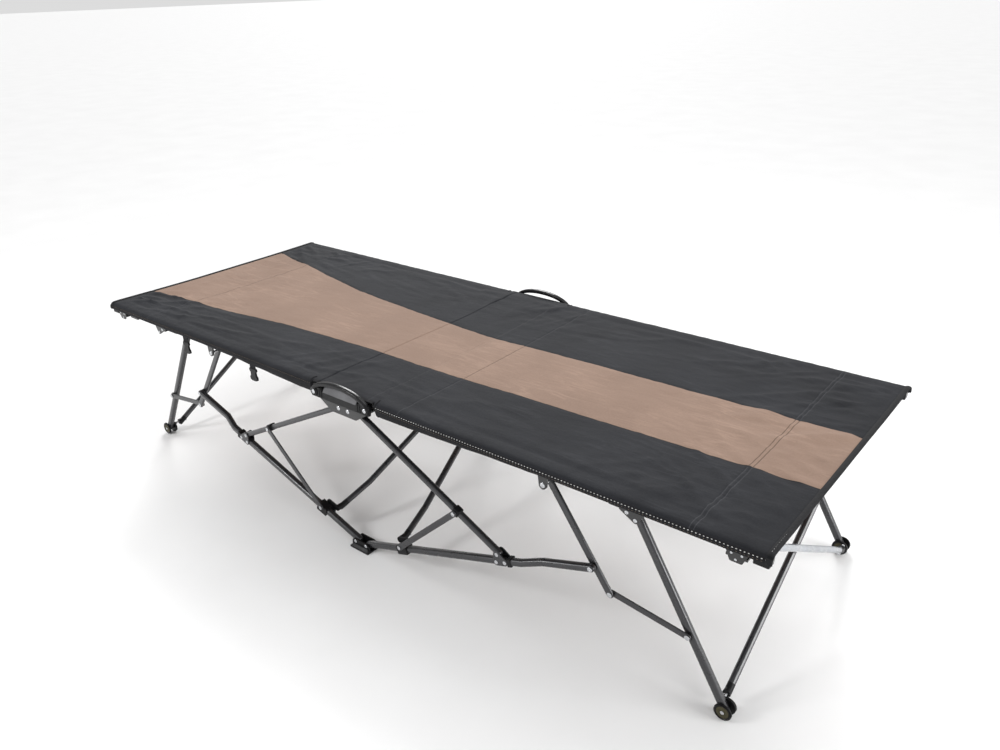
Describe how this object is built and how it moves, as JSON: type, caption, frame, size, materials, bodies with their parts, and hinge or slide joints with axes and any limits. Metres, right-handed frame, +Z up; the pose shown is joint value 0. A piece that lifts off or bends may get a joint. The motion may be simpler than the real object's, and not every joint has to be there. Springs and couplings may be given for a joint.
{
  "type": "folding camp cot",
  "caption": "Folding camp cot: charcoal steel side frames with scissor legs, crossed tubes between them, and a dark canvas bed with a tan middle.",
  "frame": {"origin": "centre of the overall box on the ground, half way along and across the bed", "axes": "+X along the bed, +Y across it to the far side frame, +Z up"},
  "size_m": [2.195, 0.858, 0.498],
  "materials": {
    "frame_charcoal": "charcoal powder coat, satin",
    "frame_grey": "grey powder coat, satin",
    "black_metal": "black powder coat",
    "black_plastic": "moulded, matte",
    "canvas": "woven polyester canvas, tan middle band"
  },
  "bodies": {
    "foot_near": {"foot_near": "black_plastic"},
    "foot_far": {"foot_far": "black_plastic"},
    "hub_near": {"hub_near": "black_metal", "handle_near": "black_plastic", "cloth_centre": "canvas"},
    "rail_near_right": {"rail_near_right": "frame_charcoal", "end_bracket_near_right": "black_metal", "cloth_right": "canvas"},
    "lower_bar_near_right": {"lower_bar_near_right": "frame_charcoal"},
    "strut_near_right": {"strut_near_right": "frame_charcoal"},
    "brace_near_right": {"brace_near_right": "frame_charcoal"},
    "collar_near_right": {"collar_near_right": "black_plastic"},
    "inner_leg_near_right": {"inner_leg_near_right": "frame_charcoal"},
    "link_near_right": {"link_near_right": "frame_charcoal"},
    "outer_leg_near_right": {"outer_leg_near_right": "frame_charcoal"},
    "roller_near_right": {"roller_near_right": "black_plastic"},
    "end_tube_near_right": {"end_tube_near_right": "frame_grey"},
    "centre_tube_near_right": {"centre_tube_near_right": "frame_charcoal"},
    "rail_near_left": {"rail_near_left": "frame_charcoal", "end_bracket_near_left": "black_metal", "cloth_left": "canvas"},
    "lower_bar_near_left": {"lower_bar_near_left": "frame_charcoal"},
    "strut_near_left": {"strut_near_left": "frame_charcoal"},
    "brace_near_left": {"brace_near_left": "frame_charcoal"},
    "collar_near_left": {"collar_near_left": "black_plastic"},
    "inner_leg_near_left": {"inner_leg_near_left": "frame_charcoal"},
    "link_near_left": {"link_near_left": "frame_charcoal"},
    "outer_leg_near_left": {"outer_leg_near_left": "frame_charcoal"},
    "roller_near_left": {"roller_near_left": "black_plastic"},
    "end_tube_near_left": {"end_tube_near_left": "frame_grey"},
    "centre_tube_near_left": {"centre_tube_near_left": "frame_charcoal"},
    "hub_far": {"hub_far": "black_metal", "handle_far": "black_plastic"},
    "rail_far_right": {"rail_far_right": "frame_charcoal", "end_bracket_far_right": "black_metal"},
    "lower_bar_far_right": {"lower_bar_far_right": "frame_charcoal"},
    "strut_far_right": {"strut_far_right": "frame_charcoal"},
    "brace_far_right": {"brace_far_right": "frame_charcoal"},
    "collar_far_right": {"collar_far_right": "black_plastic"},
    "inner_leg_far_right": {"inner_leg_far_right": "frame_charcoal"},
    "link_far_right": {"link_far_right": "frame_charcoal"},
    "outer_leg_far_right": {"outer_leg_far_right": "frame_charcoal"},
    "roller_far_right": {"roller_far_right": "black_plastic"},
    "end_tube_far_right": {"end_tube_far_right": "frame_grey"},
    "centre_tube_far_right": {"centre_tube_far_right": "frame_charcoal"},
    "rail_far_left": {"rail_far_left": "frame_charcoal", "end_bracket_far_left": "black_metal"},
    "lower_bar_far_left": {"lower_bar_far_left": "frame_charcoal"},
    "strut_far_left": {"strut_far_left": "frame_charcoal"},
    "brace_far_left": {"brace_far_left": "frame_charcoal"},
    "collar_far_left": {"collar_far_left": "black_plastic"},
    "inner_leg_far_left": {"inner_leg_far_left": "frame_charcoal"},
    "link_far_left": {"link_far_left": "frame_charcoal"},
    "outer_leg_far_left": {"outer_leg_far_left": "frame_charcoal"},
    "roller_far_left": {"roller_far_left": "black_plastic"},
    "end_tube_far_left": {"end_tube_far_left": "frame_grey"},
    "centre_tube_far_left": {"centre_tube_far_left": "frame_charcoal"}
  },
  "joints": [
    {"name": "side_slide", "type": "slide", "parent": "foot_near", "child": "foot_far", "axis": [0, -1, 0], "range_m": [0, 0.25], "deforming": ["cloth_left", "cloth_centre", "cloth_right"]},
    {"name": "fold", "type": "hinge", "parent": "foot_near", "child": "lower_bar_near_right", "pos_m": [0.02, -0.3945, 0.018], "axis": [0, -1, 0], "range_deg": [0, 68.87]},
    {"name": "strut_near_right_hinge", "type": "hinge", "parent": "lower_bar_near_right", "child": "strut_near_right", "pos_m": [0.473, -0.3945, 0.193], "axis": [0, -1, 0], "range_deg": [-131.38, 0]},
    {"name": "hub_near_hinge", "type": "hinge", "parent": "strut_near_right", "child": "hub_near", "pos_m": [0.017, -0.3945, 0.427], "axis": [0, -1, 0], "range_deg": [0, 62.5]},
    {"name": "strut_near_left_hinge", "type": "hinge", "parent": "hub_near", "child": "strut_near_left", "pos_m": [-0.017, -0.3945, 0.427], "axis": [0, -1, 0], "range_deg": [0, 62.5]},
    {"name": "lower_bar_near_left_hinge", "type": "hinge", "parent": "strut_near_left", "child": "lower_bar_near_left", "pos_m": [-0.473, -0.3945, 0.193], "axis": [0, -1, 0], "range_deg": [-131.38, 0]},
    {"name": "rail_near_right_hinge", "type": "hinge", "parent": "hub_near", "child": "rail_near_right", "pos_m": [0.093, -0.402, 0.457], "axis": [0, -1, 0], "range_deg": [-80.5, 0]},
    {"name": "inner_leg_near_right_hinge", "type": "hinge", "parent": "rail_near_right", "child": "inner_leg_near_right", "pos_m": [0.597, -0.36825, 0.422], "axis": [0, -1, 0], "range_deg": [-110.87, 0]},
    {"name": "outer_leg_near_right_hinge", "type": "hinge", "parent": "rail_near_right", "child": "outer_leg_near_right", "pos_m": [0.7915, -0.34525, 0.417], "axis": [0, -1, 0], "range_deg": [-125.01, 0]},
    {"name": "link_near_right_hinge", "type": "hinge", "parent": "outer_leg_near_right", "child": "link_near_right", "pos_m": [0.935, -0.35975, 0.172], "axis": [0, -1, 0], "range_deg": [0, 157.77]},
    {"name": "brace_near_right_hinge", "type": "hinge", "parent": "strut_near_right", "child": "brace_near_right", "pos_m": [0.349, -0.4085, 0.2566], "axis": [0, -1, 0], "range_deg": [0, 110.66]},
    {"name": "collar_near_right_slide", "type": "slide", "parent": "lower_bar_near_right", "child": "collar_near_right", "axis": [0.9467, 0, 0.3221], "range_m": [0, 0.213]},
    {"name": "rail_near_left_hinge", "type": "hinge", "parent": "hub_near", "child": "rail_near_left", "pos_m": [-0.093, -0.402, 0.457], "axis": [0, -1, 0], "range_deg": [0, 80.5]},
    {"name": "inner_leg_near_left_hinge", "type": "hinge", "parent": "rail_near_left", "child": "inner_leg_near_left", "pos_m": [-0.597, -0.36825, 0.422], "axis": [0, -1, 0], "range_deg": [0, 110.87]},
    {"name": "outer_leg_near_left_hinge", "type": "hinge", "parent": "rail_near_left", "child": "outer_leg_near_left", "pos_m": [-0.7915, -0.34525, 0.417], "axis": [0, -1, 0], "range_deg": [0, 125.01]},
    {"name": "link_near_left_hinge", "type": "hinge", "parent": "outer_leg_near_left", "child": "link_near_left", "pos_m": [-0.935, -0.35975, 0.172], "axis": [0, -1, 0], "range_deg": [-157.77, 0]},
    {"name": "brace_near_left_hinge", "type": "hinge", "parent": "strut_near_left", "child": "brace_near_left", "pos_m": [-0.349, -0.4085, 0.2566], "axis": [0, -1, 0], "range_deg": [-110.66, 0]},
    {"name": "collar_near_left_slide", "type": "slide", "parent": "lower_bar_near_left", "child": "collar_near_left", "axis": [-0.9467, 0, 0.3221], "range_m": [0, 0.213]},
    {"name": "lower_bar_far_right_hinge", "type": "hinge", "parent": "foot_far", "child": "lower_bar_far_right", "pos_m": [0.02, 0.3945, 0.018], "axis": [0, -1, 0], "range_deg": [0, 68.88]},
    {"name": "strut_far_right_hinge", "type": "hinge", "parent": "lower_bar_far_right", "child": "strut_far_right", "pos_m": [0.473, 0.3945, 0.193], "axis": [0, -1, 0], "range_deg": [-131.38, 0]},
    {"name": "hub_far_hinge", "type": "hinge", "parent": "strut_far_right", "child": "hub_far", "pos_m": [0.017, 0.3945, 0.427], "axis": [0, -1, 0], "range_deg": [0, 62.5]},
    {"name": "strut_far_left_hinge", "type": "hinge", "parent": "hub_far", "child": "strut_far_left", "pos_m": [-0.017, 0.3945, 0.427], "axis": [0, -1, 0], "range_deg": [0, 62.5]},
    {"name": "lower_bar_far_left_hinge", "type": "hinge", "parent": "strut_far_left", "child": "lower_bar_far_left", "pos_m": [-0.473, 0.3945, 0.193], "axis": [0, -1, 0], "range_deg": [-131.38, 0]},
    {"name": "rail_far_right_hinge", "type": "hinge", "parent": "hub_far", "child": "rail_far_right", "pos_m": [0.093, 0.402, 0.457], "axis": [0, -1, 0], "range_deg": [-80.5, 0]},
    {"name": "inner_leg_far_right_hinge", "type": "hinge", "parent": "rail_far_right", "child": "inner_leg_far_right", "pos_m": [0.597, 0.36825, 0.422], "axis": [0, -1, 0], "range_deg": [-110.87, 0]},
    {"name": "outer_leg_far_right_hinge", "type": "hinge", "parent": "rail_far_right", "child": "outer_leg_far_right", "pos_m": [0.7915, 0.34525, 0.417], "axis": [0, -1, 0], "range_deg": [-125.01, 0]},
    {"name": "link_far_right_hinge", "type": "hinge", "parent": "outer_leg_far_right", "child": "link_far_right", "pos_m": [0.935, 0.35975, 0.172], "axis": [0, -1, 0], "range_deg": [0, 157.77]},
    {"name": "brace_far_right_hinge", "type": "hinge", "parent": "strut_far_right", "child": "brace_far_right", "pos_m": [0.349, 0.4085, 0.2566], "axis": [0, -1, 0], "range_deg": [0, 110.66]},
    {"name": "collar_far_right_slide", "type": "slide", "parent": "lower_bar_far_right", "child": "collar_far_right", "axis": [0.9467, 0, 0.3221], "range_m": [0, 0.213]},
    {"name": "rail_far_left_hinge", "type": "hinge", "parent": "hub_far", "child": "rail_far_left", "pos_m": [-0.093, 0.402, 0.457], "axis": [0, -1, 0], "range_deg": [0, 80.5]},
    {"name": "inner_leg_far_left_hinge", "type": "hinge", "parent": "rail_far_left", "child": "inner_leg_far_left", "pos_m": [-0.597, 0.36825, 0.422], "axis": [0, -1, 0], "range_deg": [0, 110.87]},
    {"name": "outer_leg_far_left_hinge", "type": "hinge", "parent": "rail_far_left", "child": "outer_leg_far_left", "pos_m": [-0.7915, 0.34525, 0.417], "axis": [0, -1, 0], "range_deg": [0, 125.01]},
    {"name": "link_far_left_hinge", "type": "hinge", "parent": "outer_leg_far_left", "child": "link_far_left", "pos_m": [-0.935, 0.35975, 0.172], "axis": [0, -1, 0], "range_deg": [-157.77, 0]},
    {"name": "brace_far_left_hinge", "type": "hinge", "parent": "strut_far_left", "child": "brace_far_left", "pos_m": [-0.349, 0.4085, 0.2566], "axis": [0, -1, 0], "range_deg": [-110.66, 0]},
    {"name": "collar_far_left_slide", "type": "slide", "parent": "lower_bar_far_left", "child": "collar_far_left", "axis": [-0.9467, 0, 0.3221], "range_m": [0, 0.213]},
    {"name": "end_tube_near_right_hinge", "type": "hinge", "parent": "rail_far_right", "child": "end_tube_near_right", "pos_m": [1.0115, 0.37, 0.446], "axis": [0.298, 0.9515, -0.0761], "range_deg": [0, 110.91]},
    {"name": "centre_tube_near_right_hinge", "type": "hinge", "parent": "hub_far", "child": "centre_tube_near_right", "pos_m": [0.01192, 0.366, 0.44907], "axis": [0.473, -0.5809, -0.6624], "range_deg": [0, 61.61]},
    {"name": "end_tube_near_left_hinge", "type": "hinge", "parent": "rail_far_left", "child": "end_tube_near_left", "pos_m": [-1.0115, 0.37, 0.446], "axis": [0.298, -0.9515, 0.0761], "range_deg": [0, 110.91]},
    {"name": "centre_tube_near_left_hinge", "type": "hinge", "parent": "hub_far", "child": "centre_tube_near_left", "pos_m": [-0.01192, 0.366, 0.44907], "axis": [0.473, 0.5809, 0.6624], "range_deg": [0, 61.61]},
    {"name": "end_tube_far_right_hinge", "type": "hinge", "parent": "rail_near_right", "child": "end_tube_far_right", "pos_m": [1.0325, -0.37, 0.446], "axis": [-0.3031, 0.9478, 0.0987], "range_deg": [0, 105.7]},
    {"name": "centre_tube_far_right_hinge", "type": "hinge", "parent": "hub_near", "child": "centre_tube_far_right", "pos_m": [0.03208, -0.366, 0.45493], "axis": [-0.4366, -0.6059, 0.665], "range_deg": [0, 65.55]},
    {"name": "end_tube_far_left_hinge", "type": "hinge", "parent": "rail_near_left", "child": "end_tube_far_left", "pos_m": [-1.0325, -0.37, 0.446], "axis": [-0.3031, -0.9478, -0.0987], "range_deg": [0, 105.7]},
    {"name": "centre_tube_far_left_hinge", "type": "hinge", "parent": "hub_near", "child": "centre_tube_far_left", "pos_m": [-0.03208, -0.366, 0.45493], "axis": [-0.4366, 0.6059, -0.665], "range_deg": [0, 65.55]},
    {"name": "roller_near_right_spin", "type": "hinge", "parent": "outer_leg_near_right", "child": "roller_near_right", "pos_m": [1.023, -0.34525, 0.02], "axis": [0, 1, 0], "continuous": true},
    {"name": "roller_near_left_spin", "type": "hinge", "parent": "outer_leg_near_left", "child": "roller_near_left", "pos_m": [-1.023, -0.34525, 0.02], "axis": [0, 1, 0], "continuous": true},
    {"name": "roller_far_right_spin", "type": "hinge", "parent": "outer_leg_far_right", "child": "roller_far_right", "pos_m": [1.023, 0.34525, 0.02], "axis": [0, 1, 0], "continuous": true},
    {"name": "roller_far_left_spin", "type": "hinge", "parent": "outer_leg_far_left", "child": "roller_far_left", "pos_m": [-1.023, 0.34525, 0.02], "axis": [0, 1, 0], "continuous": true}
  ],
  "couplings": [
    {"joint": "side_slide", "follows": "fold", "m_per_rad": 0.20796},
    {"joint": "strut_near_right_hinge", "follows": "fold", "ratio": -1.9074},
    {"joint": "hub_near_hinge", "follows": "fold", "ratio": 0.9074},
    {"joint": "strut_near_left_hinge", "follows": "fold", "ratio": 0.9074},
    {"joint": "lower_bar_near_left_hinge", "follows": "fold", "ratio": -1.9074},
    {"joint": "rail_near_right_hinge", "follows": "fold", "ratio": -1.1687},
    {"joint": "inner_leg_near_right_hinge", "follows": "fold", "ratio": -1.6096},
    {"joint": "outer_leg_near_right_hinge", "follows": "fold", "ratio": -1.8148},
    {"joint": "link_near_right_hinge", "follows": "fold", "ratio": 2.2906},
    {"joint": "brace_near_right_hinge", "follows": "fold", "ratio": 1.6066},
    {"joint": "collar_near_right_slide", "follows": "fold", "m_per_rad": 0.17713},
    {"joint": "rail_near_left_hinge", "follows": "fold", "ratio": 1.1687},
    {"joint": "inner_leg_near_left_hinge", "follows": "fold", "ratio": 1.6096},
    {"joint": "outer_leg_near_left_hinge", "follows": "fold", "ratio": 1.8148},
    {"joint": "link_near_left_hinge", "follows": "fold", "ratio": -2.2906},
    {"joint": "brace_near_left_hinge", "follows": "fold", "ratio": -1.6066},
    {"joint": "collar_near_left_slide", "follows": "fold", "m_per_rad": 0.17713},
    {"joint": "lower_bar_far_right_hinge", "follows": "fold", "ratio": 1},
    {"joint": "strut_far_right_hinge", "follows": "fold", "ratio": -1.9074},
    {"joint": "hub_far_hinge", "follows": "fold", "ratio": 0.9074},
    {"joint": "strut_far_left_hinge", "follows": "fold", "ratio": 0.9074},
    {"joint": "lower_bar_far_left_hinge", "follows": "fold", "ratio": -1.9074},
    {"joint": "rail_far_right_hinge", "follows": "fold", "ratio": -1.1687},
    {"joint": "inner_leg_far_right_hinge", "follows": "fold", "ratio": -1.6096},
    {"joint": "outer_leg_far_right_hinge", "follows": "fold", "ratio": -1.8148},
    {"joint": "link_far_right_hinge", "follows": "fold", "ratio": 2.2906},
    {"joint": "brace_far_right_hinge", "follows": "fold", "ratio": 1.6066},
    {"joint": "collar_far_right_slide", "follows": "fold", "m_per_rad": 0.17713},
    {"joint": "rail_far_left_hinge", "follows": "fold", "ratio": 1.1687},
    {"joint": "inner_leg_far_left_hinge", "follows": "fold", "ratio": 1.6096},
    {"joint": "outer_leg_far_left_hinge", "follows": "fold", "ratio": 1.8148},
    {"joint": "link_far_left_hinge", "follows": "fold", "ratio": -2.2906},
    {"joint": "brace_far_left_hinge", "follows": "fold", "ratio": -1.6066},
    {"joint": "collar_far_left_slide", "follows": "fold", "m_per_rad": 0.17713},
    {"joint": "end_tube_near_right_hinge", "follows": "fold", "ratio": 1.6102},
    {"joint": "centre_tube_near_right_hinge", "follows": "fold", "ratio": 0.89448},
    {"joint": "end_tube_near_left_hinge", "follows": "fold", "ratio": 1.6102},
    {"joint": "centre_tube_near_left_hinge", "follows": "fold", "ratio": 0.89448},
    {"joint": "end_tube_far_right_hinge", "follows": "fold", "ratio": 1.5346},
    {"joint": "centre_tube_far_right_hinge", "follows": "fold", "ratio": 0.95154},
    {"joint": "end_tube_far_left_hinge", "follows": "fold", "ratio": 1.5346},
    {"joint": "centre_tube_far_left_hinge", "follows": "fold", "ratio": 0.95154}
  ]
}
